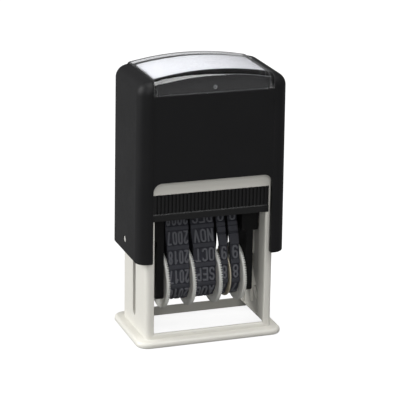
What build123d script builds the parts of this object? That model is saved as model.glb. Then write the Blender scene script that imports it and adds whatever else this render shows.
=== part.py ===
from build123d import *
import os
from math import acos, atan2, cos, hypot, pi, sin

# Self-inking rotary date stamp, in millimetres, standing on its foot.
# X runs along the printed line, -Y is the front, +Z is up.
# The origin is the middle of the foot's underside.

os.makedirs("parts", exist_ok=True)

# ---------------------------------------------------------------- driving dimensions
overall_height = 72.55
cap_width = 39.7
cap_depth = 23.4
cap_corner = 3.0
cap_wall = 1.3
cap_side_wall = 1.4
cap_bottom = 22.75
cap_draft = 0.3
foot_width = 39.8
foot_depth = 25.0
column_width = 34.9
column_depth = 19.9
column_gap = 30.1
pivot_height = 26.4
print_reach = 8.0
band_height = 1.0

# ---------------------------------------------------------------- travel of the cap
contact_gap = 0.05
stroke = pivot_height - print_reach
drop_per_radian = stroke / pi

# ---------------------------------------------------------------- cap
arch_half = 16.05
arch_rise = 1.71
arch_radius = (arch_half**2 + arch_rise**2) / (2 * arch_rise)
arch_centre = overall_height - arch_radius
shoulder_radius = 3.4
panel_half = 16.15
panel_recess = 0.12
cutout_top = 44.3
cutout_half = 16.05
cutout_corner = 2.3
below_cap = 5.0
window_bottom = 67.0
ceiling_thickness = 1.2
platform_half = (14.8, 10.1)
platform_drop = 1.6
pocket_size = (25.8, 17.6)
pocket_corner = 1.0
pocket_top = 69.2
panel_cut = 1.0
pin_radius = 0.95
pin_end = 20.0
pin_edge = 0.15
pin_floor = 0.7
guide_rib = (0.8, 1.2)
guide_rib_place = 5.5
root_overlap = 0.02
leg_edge = 0.4

# ---------------------------------------------------------------- clear window and label
window_wall = 1.1
window_side_wall = 0.9
window_skin = 1.2
window_front_edge = 2.6
window_back_edge = 1.5
label_size = (29.4, 14.8)
label_gap = 0.1
window_small_edge = 0.25
gate_mark = (0.45, 0.2)
gate_height = 1.6
gate_depth = 0.15
under_arch = 1.0

# ---------------------------------------------------------------- base frame
foot_corner = 3.2
flange_height = 1.65
flange_top_edge = 0.9
flange_bottom_edge = 0.5
column_corner = 1.5
column_top = 46.5
rim_top = 2.95
rim_edge = 0.7
mouth_bottom = (36.0, 20.3)
mouth_top = (column_gap, 18.2)
mouth_height = 3.2
bay_bottom = 33.6
bay_top = 40.7
bay_width = 31.7
deck_thickness = 1.7
bay_edge = 0.4
bridge_wall = 1.15
tray_corner = 0.8
recess_half = 5.4
recess_depth = 0.45
slot_half = 1.15
slot_bottom = 5.1
post_radius = 4.0
post_height = 1.5

# ---------------------------------------------------------------- ink cassette and pad
cassette_size = (31.5, 20.0)
cassette_bottom = 33.7
cassette_top = 40.5
lip_top = 35.6
lip_proud = 0.25
rib_pitch = 1.0
rib_count = 30
groove_width = 0.45
groove_depth = 0.45
cassette_mouth = (25.2, 15.2)
pad_size = (24.8, 14.8)
pad_corner = 0.8
pad_top = 39.5
back_clearance = 0.9
chamfer_margin = 0.02

# ---------------------------------------------------------------- print unit
wheel_height = 14.65
wheel_radius = 7.92
wheel_thickness = 1.0
wheel_edge = 0.3
drum_radius = 4.6
axle_radius = 1.0
running_gap = 0.05
cheek_inner = 11.35
cheek_outer = 13.2
cheek_half_depth = 6.0
cheek_bottom = 10.8
cheek_corner = 1.0
head_outer = 14.5
head_bottom = 26.9
right_head_bottom = 27.5
head_top = 33.2
head_half_depth = 6.0
head_corner = 0.5
right_head_inner = 10.05
boss_radius = 3.0
boss_outer = 14.3
boss_floor = 0.6
follower_arm = 3.6
follower_radius = 0.8
follower_gap = 0.2
follower_end = 16.2
nose_half = 2.0
nose_corner = 0.8
solid_gap = 0.02
band_drum_radius = 4.9
core_half_depth = 1.85
spacer_radius = 6.4
spacer_from = 6.9
spacer_to = 7.25

# Where each band lies along X, and where its thumbwheel's disc starts.
band_spans = {
    "year": (-9.95, -3.95),
    "month": (-2.75, 3.3),
    "tens": (4.5, 6.7),
    "units": (7.45, 9.95),
}
disc_starts = {"year": -11.05, "month": -3.85, "tens": 3.4, "units": 10.1}
drum_clearance = 0.1

# ---------------------------------------------------------------- main spring
spring_radius = 5.2
spring_wire = 0.35
spring_turns = 7.5
spring_gap = 0.02
groove_steps = 16
position_tolerance = 0.01


def arch_outline(radius, half_width, bottom, mode=Mode.ADD, draft=0.0):
    """Face in the XZ plane under an arch of the given radius, wider by the draft at its bottom."""
    top_edge = arch_centre + (radius**2 - half_width**2) ** 0.5
    foot_half = half_width + draft
    with BuildLine() as outline:
        Line((-half_width, top_edge), (-foot_half, bottom))
        Line((-foot_half, bottom), (foot_half, bottom))
        Line((foot_half, bottom), (half_width, top_edge))
        ThreePointArc((half_width, top_edge), (0, arch_centre + radius), (-half_width, top_edge))
    make_face(outline.edges(), mode=mode)


def belt_outline(drum, half, corner, top):
    """Face in the YZ plane of a loop round the drum and over the print nose."""
    nose = (half, top - corner)
    span = hypot(nose[0], nose[1] - wheel_height)
    lean = atan2(nose[1] - wheel_height, nose[0]) - acos((drum - corner) / span)
    out = (cos(lean), sin(lean))
    low = (drum * out[0], wheel_height + drum * out[1])
    high = (nose[0] + corner * out[0], nose[1] + corner * out[1])
    turn = (lean + pi / 2) / 2
    bend = (nose[0] + corner * cos(turn), nose[1] + corner * sin(turn))
    with BuildLine() as outline:
        ThreePointArc((-low[0], low[1]), (0, wheel_height - drum), low)
        Line(low, high)
        ThreePointArc(high, bend, (half, top))
        Line((half, top), (-half, top))
        ThreePointArc((-half, top), (-bend[0], bend[1]), (-high[0], high[1]))
        Line((-high[0], high[1]), (-low[0], low[1]))
    make_face(outline.edges())


def follower_path(turn, offset):
    """Point of the guide groove at a turn of the unit, moved sideways by offset."""
    y = follower_arm * cos(turn)
    z = pivot_height - drop_per_radian * turn - follower_arm * sin(turn)
    dy = -follower_arm * sin(turn)
    dz = -drop_per_radian - follower_arm * cos(turn)
    speed = hypot(dy, dz)
    return (y - offset * dz / speed, z + offset * dy / speed)


def groove_outline(half):
    """Face in the YZ plane of the guide groove that turns the print unit."""
    turns = [pi * step / groove_steps for step in range(groove_steps + 1)]
    one_side = [follower_path(turn, half) for turn in turns]
    other_side = [follower_path(turn, -half) for turn in turns]
    first = follower_path(0, 0)
    last = follower_path(pi, 0)
    with BuildLine() as outline:
        Spline(*one_side)
        ThreePointArc(one_side[-1], (last[0], last[1] - half), other_side[-1])
        Spline(*other_side)
        ThreePointArc(one_side[0], (first[0], first[1] + half), other_side[0])
    make_face(outline.edges())


# ---------------------------------------------------------------- base frame
with BuildPart() as base_frame:
    with BuildSketch(Plane.XY):
        RectangleRounded(foot_width, foot_depth, foot_corner)
    extrude(amount=flange_height)
    fillet(base_frame.edges().group_by(Axis.Z)[-1], flange_top_edge)
    fillet(base_frame.edges().group_by(Axis.Z)[0], flange_bottom_edge)
    with BuildSketch(Plane.XY.offset(flange_bottom_edge)):
        RectangleRounded(column_width, column_depth, column_corner)
    extrude(amount=column_top - flange_bottom_edge)
    # the open bay between the two columns, from front to back
    with BuildSketch(Plane.XY.offset(rim_top)):
        Rectangle(column_gap, foot_depth)
    extrude(amount=bay_top - rim_top, mode=Mode.SUBTRACT)
    along_rims = base_frame.edges().filter_by(Axis.X)
    fillet(
        along_rims.filter_by_position(
            Axis.Z, rim_top - position_tolerance, rim_top + position_tolerance
        ),
        rim_edge,
    )
    # the corners that the bay's side walls make with the front and back of the frame
    bay_wall = column_gap / 2 + position_tolerance
    upright_edges = base_frame.edges().filter_by(Axis.Z)
    bay_corners = upright_edges.filter_by_position(Axis.X, -bay_wall, bay_wall)
    fillet(bay_corners.filter_by_position(Axis.Z, rim_top + bay_edge, bay_top), bay_edge)
    # the mouth that the type comes down through flares towards the paper
    with BuildSketch(Plane.XY):
        Rectangle(*mouth_bottom)
    with BuildSketch(Plane.XY.offset(mouth_height)):
        Rectangle(*mouth_top)
    loft(mode=Mode.SUBTRACT)
    # the channel that the ink cassette slides in
    with BuildSketch(Plane.XY.offset(bay_bottom)):
        Rectangle(bay_width, foot_depth)
    extrude(amount=bay_top - bay_bottom, mode=Mode.SUBTRACT)
    # the tray above the deck holds the main spring
    with BuildSketch(Plane.XY.offset(bay_top + deck_thickness)):
        RectangleRounded(
            column_width - 2 * bridge_wall, column_depth - 2 * bridge_wall, tray_corner
        )
    extrude(amount=column_top, mode=Mode.SUBTRACT)
    with BuildSketch(Plane.XY.offset(bay_top + deck_thickness)):
        Circle(post_radius)
    extrude(amount=post_height)
    # shallow recesses down the inner faces of the columns
    for side in (-1, 1):
        with BuildSketch(Plane.XY.offset(mouth_height)):
            with Locations((side * (column_gap + recess_depth) / 2, 0)):
                Rectangle(recess_depth, 2 * recess_half)
        extrude(amount=bay_bottom - mouth_height, mode=Mode.SUBTRACT)
    # straight slots for the pivot pins
    slot_top = pivot_height + slot_half
    with BuildSketch(Plane.YZ):
        with Locations((0, (slot_bottom + slot_top) / 2)):
            SlotOverall(slot_top - slot_bottom, 2 * slot_half, rotation=90)
    extrude(amount=foot_width, both=True, mode=Mode.SUBTRACT)
    # curved guide grooves for the follower pins
    for side in (-1, 1):
        with BuildSketch(Plane.YZ.offset(side * column_gap / 2)):
            groove_outline(follower_radius + follower_gap)
        extrude(amount=side * (follower_end + follower_gap - column_gap / 2), mode=Mode.SUBTRACT)

base_frame.part.label = "base_frame"
export_step(base_frame.part, "parts/base_frame.step")

# ---------------------------------------------------------------- ink cassette
with BuildPart() as ink_cassette:
    with BuildSketch(Plane.XY.offset(cassette_bottom)):
        Rectangle(cassette_size[0], cassette_size[1] - 2 * lip_proud)
    extrude(amount=cassette_top - cassette_bottom)
    with BuildSketch(Plane.XY.offset(cassette_bottom)):
        Rectangle(*cassette_size)
    extrude(amount=lip_top - cassette_bottom)
    lip_edges = (
        ink_cassette.edges()
        .filter_by(Axis.X)
        .filter_by_position(Axis.Z, lip_top - position_tolerance, lip_top + position_tolerance)
        .group_by(Axis.Y)
    )
    chamfer(lip_edges[0] + lip_edges[-1], lip_proud - chamfer_margin)
    # finger grip: upright grooves in the front and back faces
    grip_face = cassette_size[1] / 2 - lip_proud
    for face in (-1, 1):
        with BuildSketch(Plane.XY.offset(lip_top)):
            with Locations((0, face * grip_face)):
                with GridLocations(rib_pitch, 1, rib_count, 1):
                    Rectangle(groove_width, 2 * groove_depth)
        extrude(amount=cassette_top - lip_top, mode=Mode.SUBTRACT)
    # the mouth that the type reaches the pad through
    with BuildSketch(Plane.XY.offset(cassette_bottom)):
        Rectangle(*cassette_mouth)
    extrude(amount=pad_top - cassette_bottom, mode=Mode.SUBTRACT)
    # the back wall is cut short, so that the cassette passes over the type when it is drawn out
    with BuildSketch(Plane.XY.offset(cassette_bottom)):
        with Locations((0, cassette_size[1] / 2)):
            Rectangle(cassette_mouth[0], cassette_size[1] - cassette_mouth[1])
    extrude(amount=back_clearance, mode=Mode.SUBTRACT)

ink_cassette.part.label = "ink_cassette"
export_step(ink_cassette.part, "parts/ink_cassette.step")

with BuildPart() as ink_pad:
    with BuildSketch(Plane.XY.offset(pivot_height + print_reach + contact_gap)):
        RectangleRounded(*pad_size, pad_corner)
    extrude(amount=pad_top - pivot_height - print_reach - contact_gap)

ink_pad.part.label = "ink_pad"
export_step(ink_pad.part, "parts/ink_pad.step")

# ---------------------------------------------------------------- main spring
spring_seat = bay_top + deck_thickness
with BuildPart() as main_spring:
    spring_length = pocket_top - spring_seat
    coil_rise = spring_length - 2 * spring_wire - 2 * spring_gap
    with BuildLine(Plane.XY.offset(spring_seat + spring_wire + spring_gap)):
        coil = Helix(pitch=coil_rise / spring_turns, height=coil_rise, radius=spring_radius)
    with BuildSketch(Plane(origin=coil @ 0, z_dir=coil % 0)):
        Circle(spring_wire)
    sweep(path=coil, is_frenet=True)

main_spring.part.label = "main_spring"
export_step(main_spring.part, "parts/main_spring.step")

# ---------------------------------------------------------------- cap housing
with BuildPart() as cap_housing:
    # front outline: straight sides, round shoulders, arched top
    with BuildSketch(Plane.XZ) as front_outline:
        arch_outline(arch_radius, cap_width / 2, cap_bottom, draft=cap_draft)
        fillet(front_outline.vertices().group_by(Axis.Y)[-1], shoulder_radius)
    extrude(amount=cap_depth / 2, both=True)
    # one round runs up each corner, over the shoulder and along the arch
    outer_faces = cap_housing.faces().sort_by(Axis.Y)
    face_edges = outer_faces[0].edges() + outer_faces[-1].edges()
    fillet(
        face_edges.filter_by_position(Axis.Z, cap_bottom + position_tolerance, overall_height),
        cap_corner,
    )
    # the inside
    with BuildSketch(Plane.XY.offset(cap_bottom)):
        RectangleRounded(
            cap_width - 2 * cap_side_wall, cap_depth - 2 * cap_wall, cap_corner - cap_wall
        )
    extrude(amount=window_bottom - ceiling_thickness - cap_bottom, mode=Mode.SUBTRACT)
    with BuildSketch(Plane.XY.offset(window_bottom - ceiling_thickness)):
        RectangleRounded(*pocket_size, pocket_corner)
    extrude(amount=pocket_top - window_bottom + ceiling_thickness, mode=Mode.SUBTRACT)
    # step for the clear window, round a platform that carries the label
    with BuildSketch(Plane.XY.offset(window_bottom)):
        Rectangle(2 * panel_half, 2 * cap_depth)
        Rectangle(2 * platform_half[0], 2 * platform_half[1], mode=Mode.SUBTRACT)
    extrude(amount=overall_height - window_bottom, mode=Mode.SUBTRACT)
    with BuildSketch(Plane.XZ):
        arch_outline(arch_radius, panel_half, pocket_top)
        arch_outline(
            arch_radius - platform_drop, panel_half, pocket_top - under_arch, Mode.SUBTRACT
        )
    extrude(amount=cap_depth, both=True, mode=Mode.SUBTRACT)
    # front and back panels lie a little below the wings beside them
    for face in (-1, 1):
        with BuildSketch(Plane.XZ.offset(-face * (cap_depth / 2 - panel_recess))):
            with Locations((0, (cap_bottom + window_bottom) / 2)):
                Rectangle(2 * panel_half, window_bottom - cap_bottom)
        extrude(amount=-face * panel_cut, mode=Mode.SUBTRACT)
    # openings that the wheels swing through, front and back
    with BuildSketch(Plane.XZ) as cutout:
        with Locations((0, (cutout_top + cap_bottom - below_cap) / 2)):
            Rectangle(2 * cutout_half, cutout_top - cap_bottom + below_cap)
        fillet(cutout.vertices().group_by(Axis.Y)[-1], cutout_corner)
    extrude(amount=cap_depth, both=True, mode=Mode.SUBTRACT)
    fillet(cap_housing.edges().group_by(Axis.Z)[0], leg_edge)
    # ribs inside the sides run on the columns
    rib_x = cap_width / 2 - cap_side_wall - guide_rib[0] / 2
    with BuildSketch(Plane.XY.offset(cap_bottom + leg_edge)):
        with GridLocations(2 * rib_x, 2 * guide_rib_place, 2, 2):
            Rectangle(guide_rib[0] + root_overlap, guide_rib[1])
    extrude(amount=window_bottom - ceiling_thickness - cap_bottom - leg_edge)
    # ring under the ceiling holds the top of the spring
    with BuildSketch(Plane.XY.offset(pocket_top - post_height)):
        Circle(post_radius)
    extrude(amount=post_height)
    with BuildSketch(Plane.YZ):
        with Locations((0, pivot_height)):
            Circle(pin_radius)
    extrude(amount=cap_width, both=True, mode=Mode.SUBTRACT)

cap_housing.part.label = "cap_housing"
export_step(cap_housing.part, "parts/cap_housing.step")

# ---------------------------------------------------------------- label and clear window
with BuildPart() as index_label:
    with BuildSketch(Plane.XZ):
        label_half = label_size[0] / 2
        arch_outline(arch_radius - window_skin - label_gap, label_half, pocket_top)
        arch_outline(
            arch_radius - platform_drop, label_half, pocket_top - under_arch, Mode.SUBTRACT
        )
    extrude(amount=label_size[1] / 2, both=True)

index_label.part.label = "index_label"
export_step(index_label.part, "parts/index_label.step")

with BuildPart() as clear_window:
    with BuildSketch(Plane.XZ):
        arch_outline(arch_radius, arch_half, window_bottom)
    extrude(amount=cap_depth / 2, both=True)
    long_edges = clear_window.edges().filter_by(GeomType.CIRCLE).group_by(Axis.Y)
    fillet(long_edges[0], window_front_edge)
    fillet(long_edges[-1], window_back_edge)
    small_edges = clear_window.faces().sort_by(Axis.Z)[0].edges() + clear_window.edges().filter_by(Axis.Z)
    fillet(small_edges, window_small_edge)
    with BuildSketch(Plane.XZ):
        arch_outline(arch_radius - window_skin, arch_half - window_side_wall, window_bottom)
    extrude(amount=cap_depth / 2 - window_wall, both=True, mode=Mode.SUBTRACT)
    # small round moulding mark low on the front
    with BuildSketch(Plane.XZ.offset(cap_depth / 2)):
        with Locations((0, window_bottom + gate_height)):
            Circle(gate_mark[0])
            Circle(gate_mark[1], mode=Mode.SUBTRACT)
    extrude(amount=-gate_depth, mode=Mode.SUBTRACT)

clear_window.part.label = "clear_window"
export_step(clear_window.part, "parts/clear_window.step")

# ---------------------------------------------------------------- pivot pins
for side, name in ((-1, "pivot_pin_left"), (1, "pivot_pin_right")):
    with BuildPart() as pin:
        with BuildSketch(Plane.YZ.offset(side * (cheek_inner + pin_floor))):
            with Locations((0, pivot_height)):
                Circle(pin_radius)
        extrude(amount=side * (pin_end - cheek_inner - pin_floor))
        chamfer(pin.edges().group_by(Axis.X)[0], pin_edge)
        chamfer(pin.edges().group_by(Axis.X)[-1], pin_edge)
    pin.part.label = name
    export_step(pin.part, f"parts/{name}.step")

# ---------------------------------------------------------------- cheeks of the print unit
for side, name in ((-1, "left_cheek"), (1, "right_cheek")):
    head_inner = right_head_inner if side > 0 else cheek_inner
    head_from = right_head_bottom if side > 0 else head_bottom
    with BuildPart() as cheek:
        with BuildSketch(Plane.YZ.offset(side * cheek_inner)):
            with Locations((0, (cheek_bottom + head_top) / 2)):
                RectangleRounded(2 * cheek_half_depth, head_top - cheek_bottom, cheek_corner)
        extrude(amount=side * (cheek_outer - cheek_inner))
        with BuildSketch(Plane.YZ.offset(side * head_inner)):
            with Locations((0, (head_from + head_top) / 2)):
                RectangleRounded(2 * head_half_depth, head_top - head_from, head_corner)
        extrude(amount=side * (head_outer - head_inner))
        with BuildSketch(Plane.YZ.offset(side * cheek_inner)):
            with Locations((0, pivot_height)):
                Circle(boss_radius)
        extrude(amount=side * (boss_outer - cheek_inner))
        with BuildSketch(Plane.YZ.offset(side * head_outer)):
            with Locations((0, pivot_height)):
                Circle(pin_radius + running_gap)
        extrude(amount=-side * (head_outer - cheek_inner - boss_floor), mode=Mode.SUBTRACT)
        with BuildSketch(Plane.YZ):
            with Locations((0, wheel_height)):
                Circle(axle_radius)
            with Locations((follower_arm, pivot_height)):
                Circle(follower_radius)
        extrude(amount=side * cap_width, mode=Mode.SUBTRACT)
    cheek.part.label = name
    export_step(cheek.part, f"parts/{name}.step")

# ---------------------------------------------------------------- follower pins
for side, name in ((-1, "follower_pin_left"), (1, "follower_pin_right")):
    with BuildPart() as follower:
        with BuildSketch(Plane.YZ.offset(side * cheek_inner)):
            with Locations((follower_arm, pivot_height)):
                Circle(follower_radius)
        extrude(amount=side * (follower_end - cheek_inner))
    follower.part.label = name
    export_step(follower.part, f"parts/{name}.step")

# ---------------------------------------------------------------- print core, axle and spacer
nose_top = pivot_height + print_reach - contact_gap
with BuildPart() as print_core:
    core_start = -cheek_inner + solid_gap
    core_top = nose_top - band_height
    with BuildSketch(Plane.YZ.offset(core_start)):
        with Locations((0, (head_bottom + core_top) / 2)):
            RectangleRounded(
                2 * core_half_depth, core_top - head_bottom - 2 * solid_gap, nose_corner
            )
    extrude(amount=right_head_inner - solid_gap - core_start)

print_core.part.label = "print_core"
export_step(print_core.part, "parts/print_core.step")

with BuildPart() as wheel_axle:
    with BuildSketch(Plane.YZ):
        with Locations((0, wheel_height)):
            Circle(axle_radius)
    extrude(amount=cheek_outer, both=True)

wheel_axle.part.label = "wheel_axle"
export_step(wheel_axle.part, "parts/wheel_axle.step")

with BuildPart() as spacer_disc:
    with BuildSketch(Plane.YZ.offset(spacer_from)):
        with Locations((0, wheel_height)):
            Circle(spacer_radius)
            Circle(axle_radius, mode=Mode.SUBTRACT)
    extrude(amount=spacer_to - spacer_from)

spacer_disc.part.label = "spacer_disc"
export_step(spacer_disc.part, "parts/spacer_disc.step")

# ---------------------------------------------------------------- type bands
for name, (start, end) in band_spans.items():
    with BuildPart() as band:
        with BuildSketch(Plane.YZ.offset(start)):
            belt_outline(
                band_drum_radius + band_height, nose_half, nose_corner + band_height, nose_top
            )
        extrude(amount=end - start)
        with BuildSketch(Plane.YZ.offset(start)):
            belt_outline(band_drum_radius, nose_half, nose_corner, nose_top - band_height)
        extrude(amount=end - start, mode=Mode.SUBTRACT)
    band.part.label = f"{name}_band"
    export_step(band.part, f"parts/{name}_band.step")

# ---------------------------------------------------------------- thumbwheels with their drums
for name, disc_start in disc_starts.items():
    start, end = band_spans[name]
    disc_end = disc_start + wheel_thickness
    drum_to = end - drum_clearance if disc_start < start else start + drum_clearance
    drum_from = disc_end if disc_start < start else disc_start
    with BuildPart() as wheel:
        with BuildSketch(Plane.YZ.offset(disc_start)):
            with Locations((0, wheel_height)):
                Circle(wheel_radius)
        extrude(amount=wheel_thickness)
        chamfer(wheel.edges(), wheel_edge)
        with BuildSketch(Plane.YZ.offset(drum_from)):
            with Locations((0, wheel_height)):
                Circle(drum_radius)
        extrude(amount=drum_to - drum_from)
        with BuildSketch(Plane.YZ.offset(disc_start)):
            with Locations((0, wheel_height)):
                Circle(axle_radius + running_gap)
        extrude(amount=foot_width, both=True, mode=Mode.SUBTRACT)
    wheel.part.label = f"{name}_wheel"
    export_step(wheel.part, f"parts/{name}_wheel.step")
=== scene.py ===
from math import acos, atan2, cos, hypot, pi, radians, sin

import bmesh
import bpy
import numpy as np
from mathutils import Matrix, Vector


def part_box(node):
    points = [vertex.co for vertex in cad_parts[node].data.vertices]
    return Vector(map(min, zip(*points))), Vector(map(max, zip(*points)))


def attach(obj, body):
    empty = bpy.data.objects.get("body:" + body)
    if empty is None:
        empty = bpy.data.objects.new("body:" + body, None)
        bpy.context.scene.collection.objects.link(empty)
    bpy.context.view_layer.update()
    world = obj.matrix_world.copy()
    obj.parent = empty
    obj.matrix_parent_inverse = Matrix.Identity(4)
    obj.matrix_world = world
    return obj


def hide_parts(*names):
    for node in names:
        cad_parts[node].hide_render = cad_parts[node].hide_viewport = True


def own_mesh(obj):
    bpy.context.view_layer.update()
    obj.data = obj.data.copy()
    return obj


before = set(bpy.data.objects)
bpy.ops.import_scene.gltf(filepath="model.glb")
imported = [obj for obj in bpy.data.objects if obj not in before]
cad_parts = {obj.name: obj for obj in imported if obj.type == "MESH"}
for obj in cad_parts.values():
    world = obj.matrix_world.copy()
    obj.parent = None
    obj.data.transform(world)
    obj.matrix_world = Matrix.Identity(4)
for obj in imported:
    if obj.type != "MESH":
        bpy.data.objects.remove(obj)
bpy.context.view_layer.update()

# Self-inking rotary date stamp: moulded cap, ivory frame, four rubber date bands on milky thumbwheels.
mm = 0.001
bpy.context.scene.view_settings.view_transform = "Standard"


def addNode(tree, kind, place=(0, 0), **values):
    node = tree.nodes.new(kind)
    node.location = place
    for key, value in values.items():
        setattr(node, key, value)
    return node


def blankMaterial(name):
    material = bpy.data.materials.new(name)
    material.use_nodes = True
    return material, material.node_tree, material.node_tree.nodes["Principled BSDF"]


def ownPlace(tree):
    return addNode(tree, "ShaderNodeTexCoord", (-1400, 0)).outputs["Object"]


def noise(tree, place, size, detail=4.0, roughness=0.55):
    # size is how big the blotches or grains are, in millimetres
    node = addNode(tree, "ShaderNodeTexNoise", (-1150, 0))
    node.inputs["Scale"].default_value = 1 / (size * mm)
    node.inputs["Detail"].default_value = detail
    node.inputs["Roughness"].default_value = roughness
    tree.links.new(place, node.inputs["Vector"])
    return node.outputs["Fac"]


def spread(tree, value, low, high, fromLow=0.3, fromHigh=0.7):
    node = addNode(tree, "ShaderNodeMapRange", (-900, 0))
    node.inputs["From Min"].default_value = fromLow
    node.inputs["From Max"].default_value = fromHigh
    node.inputs["To Min"].default_value = low
    node.inputs["To Max"].default_value = high
    tree.links.new(value, node.inputs["Value"])
    return node.outputs["Result"]


def blendColour(tree, factor, first, second):
    node = addNode(tree, "ShaderNodeMix", (-650, 200), data_type="RGBA")
    for socket, colour in ((node.inputs[6], first), (node.inputs[7], second)):
        if isinstance(colour, bpy.types.NodeSocket):
            tree.links.new(colour, socket)
        else:
            socket.default_value = (*colour, 1)
    tree.links.new(factor, node.inputs[0])
    return node.outputs[2]


def softEdge(tree, radius):
    # rounds the look of sharp edges, and says how near an edge a point is
    bevel = addNode(tree, "ShaderNodeBevel", (-900, -500), samples=4)
    bevel.inputs["Radius"].default_value = radius * mm
    flat = addNode(tree, "ShaderNodeNewGeometry", (-900, -700))
    dot = addNode(tree, "ShaderNodeVectorMath", (-700, -600), operation="DOT_PRODUCT")
    tree.links.new(bevel.outputs["Normal"], dot.inputs[0])
    tree.links.new(flat.outputs["Normal"], dot.inputs[1])
    return bevel.outputs["Normal"], spread(tree, dot.outputs["Value"], 1.0, 0.0, 0.80, 0.995)


def mouldedPlastic(name, look):
    material, tree, shader = blankMaterial(name)
    place = ownPlace(tree)
    blotch = noise(tree, place, look["blotch"], 3.0)
    grain = noise(tree, place, look["grain"], 2.0)
    colour = blendColour(tree, blotch, look["colour"], look["shade"])
    normal = None
    if "edge" in look:
        normal, nearEdge = softEdge(tree, look["edge"])
        # near edges the colour is painted lighter: some edge wear, and a painted highlight where the edges
        # catch the light
        worn = addNode(tree, "ShaderNodeMath", (-500, -300), operation="MULTIPLY")
        tree.links.new(nearEdge, worn.inputs[0])
        tree.links.new(spread(tree, blotch, 0.15, 0.9), worn.inputs[1])
        colour = blendColour(tree, worn.outputs[0], colour, look["worn"])
    tree.links.new(colour, shader.inputs["Base Color"])
    rough = addNode(tree, "ShaderNodeMath", (-500, 0), operation="ADD")
    tree.links.new(spread(tree, blotch, look["rough"][0], look["rough"][1]), rough.inputs[0])
    tree.links.new(spread(tree, grain, -look["sparkle"], look["sparkle"]), rough.inputs[1])
    tree.links.new(rough.outputs[0], shader.inputs["Roughness"])
    bump = addNode(tree, "ShaderNodeBump", (-300, -400))
    bump.inputs["Distance"].default_value = look["depth"] * mm
    bump.inputs["Strength"].default_value = 1.0
    tree.links.new(grain, bump.inputs["Height"])
    if normal is not None:
        tree.links.new(normal, bump.inputs["Normal"])
    tree.links.new(bump.outputs["Normal"], shader.inputs["Normal"])
    shader.inputs["Specular IOR Level"].default_value = look["gloss"]
    if "milky" in look:
        shader.inputs["Subsurface Weight"].default_value = look["milky"]
        shader.inputs["Subsurface Scale"].default_value = 1.2 * mm
        shader.inputs["Subsurface Radius"].default_value = (1.0, 0.9, 0.8)
    return material


# Colours are linear. Sizes are millimetres.
plasticLooks = {
    "blackSatin": {
        "colour": (0.0058, 0.0058, 0.0065), "shade": (0.0074, 0.0074, 0.0082), "worn": (0.020, 0.020, 0.021),
        "edge": 0.35, "rough": (0.46, 0.56), "sparkle": 0.05, "blotch": 9.0, "grain": 0.16, "depth": 0.006,
        "gloss": 0.26,
    },
    "blackCassette": {
        "colour": (0.0045, 0.0045, 0.0048), "shade": (0.0060, 0.0060, 0.0063), "worn": (0.022, 0.022, 0.023),
        "edge": 0.12, "rough": (0.42, 0.54), "sparkle": 0.05, "blotch": 5.0, "grain": 0.14, "depth": 0.005,
        "gloss": 0.42,
    },
    "blackUnit": {
        "colour": (0.0028, 0.0028, 0.0030), "shade": (0.0046, 0.0046, 0.0048), "worn": (0.012, 0.012, 0.013),
        "edge": 0.2, "rough": (0.45, 0.58), "sparkle": 0.05, "blotch": 5.0, "grain": 0.15, "depth": 0.006,
        "gloss": 0.18,
    },
    "ivoryPlastic": {
        "colour": (0.790, 0.775, 0.715), "shade": (0.765, 0.750, 0.690), "worn": (0.84, 0.83, 0.78),
        "edge": 0.4, "rough": (0.34, 0.44), "sparkle": 0.05, "blotch": 11.0, "grain": 0.18, "depth": 0.006,
        "gloss": 0.40,
    },
    "whitePin": {
        "colour": (0.62, 0.61, 0.58), "shade": (0.55, 0.54, 0.51), "worn": (0.7, 0.7, 0.68),
        "edge": 0.15, "rough": (0.36, 0.46), "sparkle": 0.04, "blotch": 1.5, "grain": 0.12, "depth": 0.005,
        "gloss": 0.45,
    },
    "creamPlastic": {
        "colour": (0.52, 0.47, 0.36), "shade": (0.46, 0.41, 0.31), "worn": (0.58, 0.53, 0.43),
        "edge": 0.1, "rough": (0.38, 0.5), "sparkle": 0.04, "blotch": 3.0, "grain": 0.12, "depth": 0.004,
        "gloss": 0.4,
    },
    "milkyPlastic": {
        "colour": (0.80, 0.80, 0.76), "shade": (0.73, 0.73, 0.69), "worn": (0.82, 0.82, 0.80),
        "rough": (0.28, 0.38), "sparkle": 0.04, "blotch": 3.5, "grain": 0.12, "depth": 0.003,
        "gloss": 0.5, "milky": 0.25,
    },
}
finish = {name: mouldedPlastic(name, look) for name, look in plasticLooks.items()}


def rubberMaterial(name, look):
    # "relief" on each point is 0 in the sunk ground and 1 on top of the type; the type is coloured lighter
    # than the ground, and the ridges a little lighter
    material, tree, shader = blankMaterial(name)
    place = ownPlace(tree)
    relief = addNode(tree, "ShaderNodeAttribute", (-1150, 300), attribute_name="relief").outputs["Fac"]
    cloud = noise(tree, place, look["cloud"], 4.0)
    grain = noise(tree, place, look["grain"], 3.0)
    ground = blendColour(tree, cloud, look["ground"], look["groundDark"])
    raised = blendColour(tree, cloud, look["type"], look["typeDark"])
    tree.links.new(blendColour(tree, relief, ground, raised), shader.inputs["Base Color"])
    tree.links.new(spread(tree, cloud, *look["rough"]), shader.inputs["Roughness"])
    bump = addNode(tree, "ShaderNodeBump", (-300, -400))
    bump.inputs["Distance"].default_value = look["depth"] * mm
    tree.links.new(grain, bump.inputs["Height"])
    tree.links.new(bump.outputs["Normal"], shader.inputs["Normal"])
    shader.inputs["Specular IOR Level"].default_value = look["gloss"]
    return material


finish["slateRubber"] = rubberMaterial("slateRubber", {
    "ground": (0.031, 0.032, 0.042), "groundDark": (0.025, 0.026, 0.034),
    "type": (0.130, 0.133, 0.148), "typeDark": (0.108, 0.111, 0.126),
    "rough": (0.5, 0.66), "cloud": 1.6, "grain": 0.12, "depth": 0.006, "gloss": 0.30,
})


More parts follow.
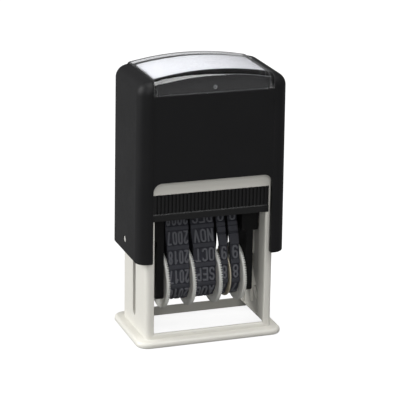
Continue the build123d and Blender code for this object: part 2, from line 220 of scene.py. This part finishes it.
def cardMaterial(name, look):
    material, tree, shader = blankMaterial(name)
    place = ownPlace(tree)
    fibre = noise(tree, place, look["fibre"], 6.0, 0.7)
    tree.links.new(blendColour(tree, fibre, look["colour"], look["shade"]), shader.inputs["Base Color"])
    bump = addNode(tree, "ShaderNodeBump", (-300, -400))
    bump.inputs["Distance"].default_value = look["depth"] * mm
    tree.links.new(fibre, bump.inputs["Height"])
    tree.links.new(bump.outputs["Normal"], shader.inputs["Normal"])
    tree.links.new(spread(tree, fibre, 0.5, 0.62), shader.inputs["Roughness"])
    shader.inputs["Specular IOR Level"].default_value = 0.3
    return material


finish["whiteCard"] = cardMaterial("whiteCard", {
    "colour": (0.81, 0.815, 0.84), "shade": (0.76, 0.765, 0.79), "fibre": 0.25, "depth": 0.006,
})


def foamMaterial(name, look):
    material, tree, shader = blankMaterial(name)
    place = ownPlace(tree)
    cells = addNode(tree, "ShaderNodeTexVoronoi", (-1150, 0))
    cells.inputs["Scale"].default_value = 1 / (look["cell"] * mm)
    tree.links.new(place, cells.inputs["Vector"])
    damp = noise(tree, place, look["damp"], 4.0)
    tree.links.new(blendColour(tree, damp, look["colour"], look["wet"]), shader.inputs["Base Color"])
    tree.links.new(spread(tree, damp, 0.35, 0.8), shader.inputs["Roughness"])
    bump = addNode(tree, "ShaderNodeBump", (-300, -400))
    bump.inputs["Distance"].default_value = look["depth"] * mm
    tree.links.new(cells.outputs["Distance"], bump.inputs["Height"])
    tree.links.new(bump.outputs["Normal"], shader.inputs["Normal"])
    return material


finish["inkFoam"] = foamMaterial("inkFoam", {
    "colour": (0.030, 0.030, 0.036), "wet": (0.008, 0.008, 0.012), "cell": 0.35, "damp": 4.0, "depth": 0.06,
})


def steelMaterial(name, look):
    material, tree, shader = blankMaterial(name)
    place = ownPlace(tree)
    drawn = noise(tree, place, look["scratch"], 5.0, 0.7)
    tree.links.new(blendColour(tree, drawn, look["colour"], look["shade"]), shader.inputs["Base Color"])
    tree.links.new(spread(tree, drawn, 0.2, 0.38), shader.inputs["Roughness"])
    shader.inputs["Metallic"].default_value = 1.0
    return material


finish["springSteel"] = steelMaterial("springSteel", {
    "colour": (0.56, 0.56, 0.57), "shade": (0.40, 0.40, 0.42), "scratch": 0.2,
})


def clearMaterial(name, look):
    # clear moulding that lamps shine through, with faint handling haze, and a painted highlight of pale
    # white along the edges where they catch the light
    material, tree, shader = blankMaterial(name)
    place = ownPlace(tree)
    haze = noise(tree, place, look["haze"], 3.0)
    nearEdge = softEdge(tree, look["edge"])[1]
    tree.links.new(spread(tree, haze, *look["rough"]), shader.inputs["Roughness"])
    shader.inputs["Base Color"].default_value = (*look["tint"], 1)
    shader.inputs["Transmission Weight"].default_value = 1.0
    shader.inputs["IOR"].default_value = look["ior"]
    # the pale diffuse layer near the edges is a painted highlight, not the plastic's colour
    edge = addNode(tree, "ShaderNodeBsdfDiffuse", (0, 0))
    edge.inputs["Color"].default_value = (*look["edgeHighlightColour"], 1)
    edgeMix = addNode(tree, "ShaderNodeMixShader", (150, 100))
    tree.links.new(spread(tree, nearEdge, 0.0, look["edgeHighlightShare"], 0.0, 1.0), edgeMix.inputs[0])
    tree.links.new(shader.outputs[0], edgeMix.inputs[1])
    tree.links.new(edge.outputs[0], edgeMix.inputs[2])
    lamp = addNode(tree, "ShaderNodeLightPath", (-300, 500))
    through = addNode(tree, "ShaderNodeBsdfTransparent", (0, -300))
    through.inputs["Color"].default_value = (*look["shadowTint"], 1)
    mix = addNode(tree, "ShaderNodeMixShader", (300, 200))
    tree.links.new(lamp.outputs["Is Shadow Ray"], mix.inputs[0])
    tree.links.new(edgeMix.outputs[0], mix.inputs[1])
    tree.links.new(through.outputs[0], mix.inputs[2])
    tree.links.new(mix.outputs[0], tree.nodes["Material Output"].inputs["Surface"])
    return material


finish["clearPlastic"] = clearMaterial("clearPlastic", {
    "tint": (0.97, 0.975, 0.985), "rough": (0.02, 0.05), "haze": 6.0, "ior": 1.56,
    "shadowTint": (0.92, 0.92, 0.93),
    "edge": 0.2, "edgeHighlightShare": 0.45, "edgeHighlightColour": (0.85, 0.86, 0.88),
})
print("materials made:", ", ".join(finish))


# pieces that keep the model's own mesh
keptPieces = {
    "base_frame": "ivoryPlastic",
    "ink_cassette": "blackCassette",
    "cap_housing": "blackSatin",
    "index_label": "whiteCard",
    "pivot_pin_left": "whitePin",
    "pivot_pin_right": "whitePin",
    "clear_window": "clearPlastic",
    "left_cheek": "blackUnit",
    "right_cheek": "blackUnit",
    "follower_pin_left": "blackUnit",
    "follower_pin_right": "blackUnit",
    "print_core": "blackUnit",
    "wheel_axle": "blackUnit",
    "spacer_disc": "creamPlastic",
}
for nodeName, finishName in keptPieces.items():
    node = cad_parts[nodeName]
    node.data.materials.clear()
    node.data.materials.append(finish[finishName])
print("model pieces finished:", len(keptPieces))


def newPiece(name, points, faces, finishName, body, stands, smooth=True):
    mesh = bpy.data.meshes.new(name)
    mesh.from_pydata([tuple(point) for point in points], [], faces)
    mesh.validate()
    mesh.materials.append(finish[finishName])
    mesh.polygons.foreach_set("use_smooth", [smooth] * len(mesh.polygons))
    piece = bpy.data.objects.new(name, mesh)
    bpy.context.scene.collection.objects.link(piece)
    made = bmesh.new()
    made.from_mesh(mesh)
    bmesh.ops.recalc_face_normals(made, faces=made.faces)
    made.to_mesh(mesh)
    made.free()
    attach(piece, body)
    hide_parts(stands)
    return piece


def keepSharp(piece, degrees):
    # smooth shading, but with real corners where faces meet steeply
    made = bmesh.new()
    made.from_mesh(piece.data)
    for edge in made.edges:
        edge.smooth = len(edge.link_faces) == 2 and edge.calc_face_angle(0) < radians(degrees)
    made.to_mesh(piece.data)
    made.free()


# a band is one loop of rubber, with raised type and a ridge between the rows
bandLook = {
    "thickness": 1.0,  # from the drum to the top of the type
    "typeHeight": 0.42,
    "ridgeHeight": 0.32,
    "ridgeHalf": 0.50,
    "shoulder": 0.13,  # slope at the foot of each letter
    "stroke": 0.46,
    "letterHeight": 3.6,
    "ridgeTone": 0.25,  # how far the ridges' colour goes from the ground's to the type's
    "leanFrom": 21.8,
    "leanTo": 31.0,
    "rowPitch": 5.2,
    "rowShift": 0.2,
    "noseHalf": 2.0,
    "noseCorner": 1.8,
    "edgeRound": 0.16,
    "step": 0.09,
}
bandRows = {
    "year": ["2009", "2008", "2007", "2018", "2017", "2016", "2015", "2014", "2013", "2012", "2011", "2010"],
    "month": ["JAN", "DEC", "NOV", "OCT", "SEP", "AUG", "JUL", "JUN", "MAY", "APR", "MAR", "FEB"],
    "tens": ["", "0", "", "9", "8", "7", "6", "5", "4", "3", "2", "1"],
    "units": ["", "0", "", "9", "8", "7", "6", "5", "4", "3", "2", "1"],
}
letterWidths = {"year": (1.22, 1.46), "month": (1.55, 1.84), "tens": (1.5, 0.0), "units": (1.6, 0.0)}
# how far each band leans at the print face, and how much wider it spreads there
bandLean = {"year": (-0.25, 0.42), "month": (-0.55, 0.35), "tens": (-0.78, 0.25), "units": (-0.58, 0.2)}


def bow(x, y, halfWide, halfHigh, start, end, count=12):
    # part of an oval, from one angle to another in degrees
    turns = [radians(start + (end - start) * i / count) for i in range(count + 1)]
    return [(x + halfWide * cos(turn), y + halfHigh * sin(turn)) for turn in turns]


roundTop = bow(0.5, 0.8, 0.5, 0.2, 0, 180)
roundFoot = bow(0.5, 0.2, 0.5, 0.2, 180, 360)
ring = [roundTop + roundFoot + [roundTop[0]]]
six = [bow(0.5, 0.28, 0.5, 0.28, 0, 360, 24), [(0, 0.28), (0, 0.78)] + bow(0.5, 0.78, 0.5, 0.22, 180, 10)]
loopStem = [(0, 0), (0, 1), (0.5, 1)] + bow(0.5, 0.75, 0.48, 0.25, 90, -90) + [(0, 0.5)]
letterStrokes = {
    "0": ring,
    "1": [[(0.12, 0.76), (0.62, 1), (0.62, 0)]],
    "2": [bow(0.5, 0.76, 0.5, 0.24, 172, -28) + [(0, 0), (1, 0)]],
    "3": [bow(0.5, 0.76, 0.5, 0.24, 160, -90) + bow(0.5, 0.26, 0.5, 0.26, 90, -160)],
    "4": [[(0.74, 0), (0.74, 1), (0, 0.3), (1, 0.3)]],
    "5": [[(0.95, 1), (0.12, 1), (0.06, 0.55)] + bow(0.5, 0.32, 0.5, 0.32, 135, -160)],
    "6": six,
    "7": [[(0, 1), (1, 1), (0.38, 0)]],
    "8": [bow(0.5, 0.77, 0.43, 0.23, 0, 360, 24), bow(0.5, 0.27, 0.5, 0.27, 0, 360, 24)],
    "9": [[(1 - x, 1 - y) for x, y in stroke] for stroke in six],
    "A": [[(0, 0), (0.5, 1), (1, 0)], [(0.17, 0.3), (0.83, 0.3)]],
    "B": [loopStem, bow(0.5, 0.25, 0.5, 0.25, 90, -90) + [(0, 0)]],
    "C": [bow(0.5, 0.8, 0.5, 0.2, 5, 180) + bow(0.5, 0.2, 0.5, 0.2, 180, 355)],
    "D": [
        [(0, 0), (0, 1), (0.4, 1)] + bow(0.4, 0.74, 0.6, 0.26, 90, 0)
        + bow(0.4, 0.26, 0.6, 0.26, 0, -90) + [(0, 0)],
    ],
    "E": [[(1, 0), (0, 0), (0, 1), (1, 1)], [(0, 0.52), (0.85, 0.52)]],
    "F": [[(0, 0), (0, 1), (1, 1)], [(0, 0.52), (0.82, 0.52)]],
    "G": [bow(0.5, 0.8, 0.5, 0.2, 5, 180) + roundFoot + [(1, 0.45), (0.55, 0.45)]],
    "J": [[(1, 1), (1, 0.22)] + bow(0.5, 0.22, 0.5, 0.22, 0, -170)],
    "L": [[(0, 1), (0, 0), (1, 0)]],
    "M": [[(0, 0), (0, 1), (0.5, 0.3), (1, 1), (1, 0)]],
    "N": [[(0, 0), (0, 1), (1, 0), (1, 1)]],
    "O": ring,
    "P": [loopStem],
    "R": [loopStem, [(0.5, 0.5), (1, 0)]],
    "S": [bow(0.5, 0.76, 0.5, 0.24, 15, 270) + bow(0.5, 0.26, 0.5, 0.26, 90, -165)],
    "T": [[(0, 1), (1, 1)], [(0.5, 1), (0.5, 0)]],
    "U": [[(0, 1)] + roundFoot + [(1, 1)]],
    "V": [[(0, 1), (0.5, 0), (1, 1)]],
    "Y": [[(0, 1), (0.5, 0.46), (1, 1)], [(0.5, 0.46), (0.5, 0)]],
}


def strokeDistance(across, along, stroke):
    # distance of each grid point from a line of straight pieces
    nearest = np.full(across.shape, 99.0)
    for (x0, y0), (x1, y1) in zip(stroke, stroke[1:]):
        length = (x1 - x0) ** 2 + (y1 - y0) ** 2
        if length < 1e-9:
            continue
        t = np.clip(((across - x0) * (x1 - x0) + (along - y0) * (y1 - y0)) / length, 0, 1)
        nearest = np.minimum(nearest, np.hypot(across - x0 - t * (x1 - x0), along - y0 - t * (y1 - y0)))
    return nearest


def shoulderHeight(distance, half, slope):
    t = np.clip((half + slope - distance) / slope, 0, 1)
    return t * t * (3 - 2 * t)


def beltPath(outer, drumZ, top, half, corner, count):
    # points and outward directions round the loop, from the middle of the print face down the front
    centre = (half, top - corner)
    span = hypot(centre[0], centre[1] - drumZ)
    lean = atan2(centre[1] - drumZ, centre[0]) - acos((outer - corner) / span)
    straight = (span ** 2 - (outer - corner) ** 2) ** 0.5
    lengths = [half, corner * (pi / 2 - lean), straight, outer * (pi / 2 + lean)]
    halfLoop = sum(lengths)
    found = []
    for i in range(count):
        s = i * 2 * halfLoop / count
        side = 1 if s <= halfLoop else -1
        t = s if side > 0 else 2 * halfLoop - s
        if t < lengths[0]:
            y, z, turn = t, top, pi / 2
        elif t < lengths[0] + lengths[1]:
            turn = pi / 2 - (t - lengths[0]) / corner
            y, z = centre[0] + corner * cos(turn), centre[1] + corner * sin(turn)
        elif t < halfLoop - lengths[3]:
            turn, down = lean, t - lengths[0] - lengths[1]
            y = centre[0] + corner * cos(lean) + down * sin(lean)
            z = centre[1] + corner * sin(lean) - down * cos(lean)
        else:
            turn = lean - (t - halfLoop + lengths[3]) / outer
            y, z = outer * cos(turn), drumZ + outer * sin(turn)
        found.append((-side * y, z, -side * cos(turn), sin(turn)))
    return np.array(found), 2 * halfLoop


def typeRelief(name, across, along, loop, look):
    # height of the rubber above its ground, and its tone, both 0 to 1 over the unrolled band
    letters = np.zeros(across.shape)
    height = np.zeros(across.shape)
    charWide, charPitch = letterWidths[name]
    tall = look["letterHeight"] - look["stroke"]
    thick = look["stroke"] / 2
    ridge = look["ridgeHeight"] / look["typeHeight"]
    along = (along + loop / 2) % loop - loop / 2
    for row, word in enumerate(bandRows[name]):
        place = look["rowShift"] + look["rowPitch"] * (row if row < 7 else row - 12)
        local = (along - place + loop / 2) % loop - loop / 2
        near = np.abs(local) < look["rowPitch"]
        edge = np.abs(local - look["rowPitch"] / 2)
        height = np.maximum(height, ridge * shoulderHeight(edge, look["ridgeHalf"], look["shoulder"]))
        if not word:
            for low, high in ((-1.8, -0.5), (0.2, 2.6)):
                pad = np.abs(local - (low + high) / 2)
                height = np.maximum(height, ridge * shoulderHeight(pad, (high - low) / 2, look["shoulder"]))
            continue
        for index, letter in enumerate(word):
            middle = (index - (len(word) - 1) / 2) * charPitch
            wide = charWide - look["stroke"]
            for stroke in letterStrokes[letter]:
                line = [(middle + (x - 0.5) * wide, (y - 0.5) * tall) for x, y in stroke]
                distance = np.full(across.shape, 99.0)
                distance[near] = strokeDistance(-across[near], local[near], line)
                letters = np.maximum(letters, shoulderHeight(distance, thick - 0.03, look["shoulder"]))
    return np.maximum(height, letters), np.maximum(height * look["ridgeTone"], letters)


def dateBand(name, look):
    low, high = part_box(name + "_band")
    outer = high.y / mm
    drumZ = low.z / mm + outer
    stations = int(round(64 / look["step"]))
    path, loop = beltPath(outer, drumZ, high.z / mm, look["noseHalf"], look["noseCorner"], stations)
    width = (high.x - low.x) / mm
    middle = (high.x + low.x) / 2 / mm
    columns = int(round(width / look["step"]))
    across = (np.arange(columns + 1) / columns - 0.5) * width
    along = np.arange(stations) * loop / stations
    gridAcross, gridAlong = np.meshgrid(across, along)
    relief, tone = typeRelief(name, gridAcross, gridAlong, loop, look)
    inset = width / 2 - np.abs(gridAcross)
    rounded = look["edgeRound"] - np.minimum(inset, look["edgeRound"])
    drop = look["edgeRound"] - np.sqrt(np.maximum(look["edgeRound"] ** 2 - rounded ** 2, 0))
    depth = look["typeHeight"] * (1 - relief) + drop
    # each ring runs across the outside of the band and back along its inside
    ringSize = columns + 3
    points = np.zeros((stations, ringSize, 3))
    for column in range(columns + 1):
        sunk = depth[:, column]
        points[:, column, 0] = across[column] + middle
        points[:, column, 1] = path[:, 0] - sunk * path[:, 2]
        points[:, column, 2] = path[:, 1] - sunk * path[:, 3]
    for column, x in ((columns + 1, across[-1]), (columns + 2, across[0])):
        points[:, column, 0] = x + middle
        points[:, column, 1] = path[:, 0] - look["thickness"] * path[:, 2]
        points[:, column, 2] = path[:, 1] - look["thickness"] * path[:, 3]
    lean, wider = bandLean[name]
    climb = np.clip((points[:, :, 2] - look["leanFrom"]) / (look["leanTo"] - look["leanFrom"]), 0, 1)
    climb = climb * climb * (3 - 2 * climb)
    points[:, :, 0] += climb * (lean + wider * (points[:, :, 0] - middle) / width)
    faces = []
    for i in range(stations):
        here, there = i * ringSize, (i + 1) % stations * ringSize
        for j in range(ringSize):
            k = (j + 1) % ringSize
            faces.append((here + j, here + k, there + k, there + j))
    piece = newPiece(
        name + "_type_band", points.reshape(-1, 3) * mm, faces, "slateRubber", "print_unit",
        name + "_band",
    )
    shade = np.zeros((stations, ringSize), np.float32)
    shade[:, : columns + 1] = tone
    values = piece.data.attributes.new("relief", "FLOAT", "POINT")
    values.data.foreach_set("value", shade.ravel())
    return piece


for name in bandRows:
    dateBand(name, bandLook)
print("date bands made")


# a thumbwheel is a milky disc with a fine milled edge, and the drum that its band runs on
wheelLook = {
    "thick": 1.0,
    "rim": 0.30,  # rounding of the rim's plain side
    "teeth": 74,
    "toothReach": 0.05,  # how far the teeth stand out, half of the gap to the band
    "toothNotch": 0.50,  # how far the gaps between them cut back into the disc
    "toothFoot": 6.75,  # radius that the teeth start at
    "perTooth": 8,
    "sharpFrom": 42,  # degrees between faces that make a real corner
    "faceDip": 0.18,
    "dipFrom": 2.2,
    "dipTo": 6.2,
    "drum": 4.6,
    "bore": 1.05,
}


def lathed(profile, columns, shape):
    # turns a closed outline of (x, radius) about X, with shape(x, radius, turn) free to move each point
    points, faces = [], []
    for i in range(columns):
        turn = 2 * pi * i / columns
        for x, radius in profile:
            x, radius = shape(x, radius, turn)
            points.append((x, radius * cos(turn), radius * sin(turn)))
    count = len(profile)
    for i in range(columns):
        here, there = i * count, (i + 1) % columns * count
        for j in range(count):
            k = (j + 1) % count
            faces.append((here + j, here + k, there + k, there + j))
    return points, faces


def thumbWheel(name, look, discOnRight):
    low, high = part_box(name + "_wheel")
    radius = (high.z - low.z) / 2 / mm
    centreZ = (high.z + low.z) / 2 / mm
    start = high.x / mm - look["thick"] if discOnRight else low.x / mm
    end = start + look["thick"]
    far = low.x / mm if discOnRight else high.x / mm
    rim, dip, bore, foot = look["rim"], look["faceDip"], look["bore"], look["toothFoot"]
    tip = end + look["toothReach"]
    gap = end - look["toothNotch"]
    profile = [(start, look["dipTo"] + 0.5), (start, radius - rim)]
    for i in range(1, 6):
        turn = pi - pi / 2 * i / 5
        profile.append((start + rim + rim * cos(turn), radius - rim + rim * sin(turn)))
    profile += [((start + gap) / 2, radius), (gap, radius - 0.01), (gap + 0.01, radius - 0.02)]
    profile += [(tip - 0.15, radius - 0.05), (tip - 0.03, radius - 0.12), (tip, radius - 0.25)]
    profile += [(tip, foot + 0.25), (tip - 0.08, foot + 0.12), (end, foot)]
    dipRing = [(-dip, look["dipTo"] + 0.15), (-dip, look["dipTo"])]
    if discOnRight:
        profile += [(end + x, r) for x, r in dipRing]
        profile += [(end - dip, look["dipFrom"]), (end, look["dipFrom"] - 0.2)]
        profile += [(end, bore + 0.1), (end - 0.1, bore), (far + 0.1, bore), (far, bore + 0.1)]
        profile += [(far, look["drum"] - 0.15), (far + 0.15, look["drum"]), (start, look["drum"])]
    else:
        profile += [(end, look["drum"]), (far - 0.15, look["drum"]), (far, look["drum"] - 0.15)]
        profile += [(far, bore + 0.1), (far - 0.1, bore), (start + 0.1, bore), (start, bore + 0.1)]
        profile += [(start, look["dipFrom"] - 0.2), (start + dip, look["dipFrom"])]
        profile += [(start - x, r) for x, r in reversed(dipRing)]

    def milled(x, r, turn):
        # between the teeth the rim's right side is cut back
        if r < foot + 0.05 or x < gap + 0.005:
            return x, r
        cut = min(1.0, max(0.0, 0.45 - 1.3 * cos(look["teeth"] * turn)))
        return x - cut * (x - gap - 0.01), r - 0.04 * cut * (r > radius - 0.2)

    points, faces = lathed(profile, look["teeth"] * look["perTooth"], milled)
    points = [(x * mm, y * mm, (z + centreZ) * mm) for x, y, z in points]
    piece = newPiece(
        name + "_thumb_wheel", points, faces, "milkyPlastic",
        name + "_setting", name + "_wheel",
    )
    keepSharp(piece, look["sharpFrom"])
    return piece


for name in bandRows:
    thumbWheel(name, wheelLook, name == "units")
print("thumbwheels made")


# the spring has closed coils at both ends
springLook = {
    "radius": 5.2, "wire": 0.35, "openTurns": 6.0, "closedTurns": 1.25,
    "perTurn": 40, "round": 10, "travel": 18.4,
}


def mainSpring(look):
    low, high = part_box("main_spring")
    bottom, top = low.z / mm + look["wire"], high.z / mm - look["wire"]
    dead, free = look["closedTurns"], look["openTurns"]
    deadRise = 2.05 * look["wire"] * dead
    turns = 2 * dead + free
    count = int(turns * look["perTurn"])
    line = []
    for i in range(count + 1):
        turn = turns * i / count
        if turn < dead:
            z = bottom + deadRise * turn / dead
        elif turn > dead + free:
            z = top - deadRise * (turns - turn) / dead
        else:
            z = bottom + deadRise + (top - bottom - 2 * deadRise) * (turn - dead) / free
        line.append(Vector((look["radius"] * cos(2 * pi * turn), look["radius"] * sin(2 * pi * turn), z)))
    points, faces = [], []
    for i, spot in enumerate(line):
        ahead = (line[min(i + 1, count)] - line[max(i - 1, 0)]).normalized()
        out = Vector((spot.x, spot.y, 0)).normalized()
        over = ahead.cross(out).normalized()
        out = over.cross(ahead)
        for j in range(look["round"]):
            turn = 2 * pi * j / look["round"]
            points.append((spot + look["wire"] * (out * cos(turn) + over * sin(turn))) * mm)
    for i in range(count):
        for j in range(look["round"]):
            k = (j + 1) % look["round"]
            here, there = i * look["round"], (i + 1) * look["round"]
            faces.append((here + j, here + k, there + k, there + j))
    faces.append(tuple(range(look["round"])))
    faces.append(tuple(count * look["round"] + j for j in range(look["round"])))
    piece = newPiece("coil_spring", points, faces, "springSteel", "base", "main_spring")
    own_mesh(piece)
    return piece


mainSpring(springLook)
print("main spring made")


# the pad is a felt block, its face pillowed at the rim
padLook = {"corner": 1.2, "crown": 0.10, "pillow": 0.35, "sharpFrom": 60}


def inkPad(look):
    low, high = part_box("ink_pad")
    middle = (low + high) / 2
    halfX, halfY = (high.x - low.x) / 2 / mm, (high.y - low.y) / 2 / mm
    height = (high.z - low.z) / mm
    made = bmesh.new()
    layers = []
    # rings from the middle of the print side, out, up the sides and over the top
    outline = []
    for cornerX, cornerY, start in ((1, 1, 0), (-1, 1, 90), (-1, -1, 180), (1, -1, 270)):
        for i in range(7):
            turn = radians(start + 15 * i)
            outline.append((cornerX, cornerY, cos(turn), sin(turn)))
    steps = [(0.985 * t, 0.0) for t in (0.15, 0.35, 0.55, 0.72, 0.86, 0.94)]
    steps += [(1.0, look["pillow"] * 0.25), (1.0, look["pillow"]), (1.0, height - 0.3), (0.985, height)]
    for share, rise in steps:
        layer = []
        for cornerX, cornerY, outX, outY in outline:
            x = share * (cornerX * (halfX - look["corner"]) + look["corner"] * outX)
            y = share * (cornerY * (halfY - look["corner"]) + look["corner"] * outY)
            z = rise or look["crown"] * share ** 6
            spot = (middle.x + x * mm, middle.y + y * mm, low.z + z * mm)
            layer.append(made.verts.new(spot))
        layers.append(layer)
    for first, second in zip(layers, layers[1:]):
        for j in range(len(first)):
            k = (j + 1) % len(first)
            made.faces.new((first[j], first[k], second[k], second[j]))
    made.faces.new(layers[0])
    made.faces.new(layers[-1])
    bmesh.ops.recalc_face_normals(made, faces=made.faces)
    points = [tuple(vertex.co) for vertex in made.verts]
    made.verts.index_update()
    faces = [tuple(vertex.index for vertex in face.verts) for face in made.faces]
    made.free()
    piece = newPiece("ink_pad_foam", points, faces, "inkFoam", "cassette", "ink_pad")
    keepSharp(piece, look["sharpFrom"])
    return piece


inkPad(padLook)
print("ink pad made")


floorLook = {"size": 6.0, "colour": (0.24, 0.24, 0.24), "seenGlow": 0.86}
floorMesh = bpy.data.meshes.new("floor")
reach = floorLook["size"] / 2
floorCorners = [(-reach, -reach, 0), (reach, -reach, 0), (reach, reach, 0), (-reach, reach, 0)]
floorMesh.from_pydata(floorCorners, [], [(0, 1, 2, 3)])
floor = bpy.data.objects.new("floor", floorMesh)
bpy.context.scene.collection.objects.link(floor)
floorMaterial, floorTree, floorShader = blankMaterial("paleFloor")
floorShader.inputs["Base Color"].default_value = (*floorLook["colour"], 1)
floorShader.inputs["Roughness"].default_value = 0.9
floorShader.inputs["Specular IOR Level"].default_value = 0.1
# seen straight on or through the window, the floor glows like bright paper; it throws little of that back
floorShader.inputs["Emission Color"].default_value = (1.0, 1.0, 1.0, 1)
seen = addNode(floorTree, "ShaderNodeLightPath", (-700, -300))
either = addNode(floorTree, "ShaderNodeMath", (-500, -300), operation="MAXIMUM")
floorTree.links.new(seen.outputs["Is Camera Ray"], either.inputs[0])
straight = addNode(floorTree, "ShaderNodeMath", (-700, -500), operation="LESS_THAN")
straight.inputs[1].default_value = 0.5
floorTree.links.new(seen.outputs["Glossy Depth"], straight.inputs[0])
through = addNode(floorTree, "ShaderNodeMath", (-600, -400), operation="MULTIPLY")
floorTree.links.new(seen.outputs["Is Transmission Ray"], through.inputs[0])
floorTree.links.new(straight.outputs[0], through.inputs[1])
floorTree.links.new(through.outputs[0], either.inputs[1])
glow = spread(floorTree, either.outputs[0], 0.0, floorLook["seenGlow"], 0.0, 1.0)
floorTree.links.new(glow, floorShader.inputs["Emission Strength"])
floorMesh.materials.append(floorMaterial)

world = bpy.data.worlds.new("studio")
bpy.context.scene.world = world
world.use_nodes = True
worldLook = {"colour": (1.0, 1.0, 1.0), "strength": 0.19}
world.node_tree.nodes["Background"].inputs["Color"].default_value = (*worldLook["colour"], 1)
world.node_tree.nodes["Background"].inputs["Strength"].default_value = worldLook["strength"]

lamps = {
    "leftBox": {"at": (-1.25, 0.25, 0.65), "size": (1.0, 1.0), "power": 19.5},
    "frontBox": {"at": (-0.35, -1.45, 0.75), "size": (0.8, 0.8), "power": 7.2},
    "topBox": {"at": (0.12, -0.28, 1.10), "size": (0.36, 1.0), "power": 7.6},
}
middle = Vector((0, 0, 0.036))
for lampName, lamp in lamps.items():
    data = bpy.data.lights.new(lampName, "AREA")
    data.shape = "RECTANGLE"
    data.size, data.size_y = lamp["size"]
    data.energy = lamp["power"]
    light = bpy.data.objects.new(lampName, data)
    bpy.context.scene.collection.objects.link(light)
    light.location = lamp["at"]
    light.rotation_euler = (middle - Vector(lamp["at"])).to_track_quat("-Z", "Y").to_euler()

cameraLook = {
    "at": (-0.158301, -0.453417, 0.189978),
    "yaw": -19.295, "pitch": 17.866, "roll": 0.871, "lens": 173.87,
}
yaw, pitch, roll = (radians(cameraLook[key]) for key in ("yaw", "pitch", "roll"))
back = Vector((sin(yaw) * cos(pitch), -cos(yaw) * cos(pitch), sin(pitch)))
right = Vector((cos(yaw), sin(yaw), 0))
up = back.cross(right)
turned = (right * cos(roll) + up * sin(roll), up * cos(roll) - right * sin(roll), back)
cameraData = bpy.data.cameras.new("camera")
cameraData.lens = cameraLook["lens"]
cameraData.sensor_width = 36.0
cameraData.clip_start = 0.01
camera = bpy.data.objects.new("camera", cameraData)
bpy.context.scene.collection.objects.link(camera)
camera.matrix_world = Matrix.Translation(cameraLook["at"]) @ Matrix(turned).transposed().to_4x4()
bpy.context.scene.camera = camera
print("floor, lights and camera set")
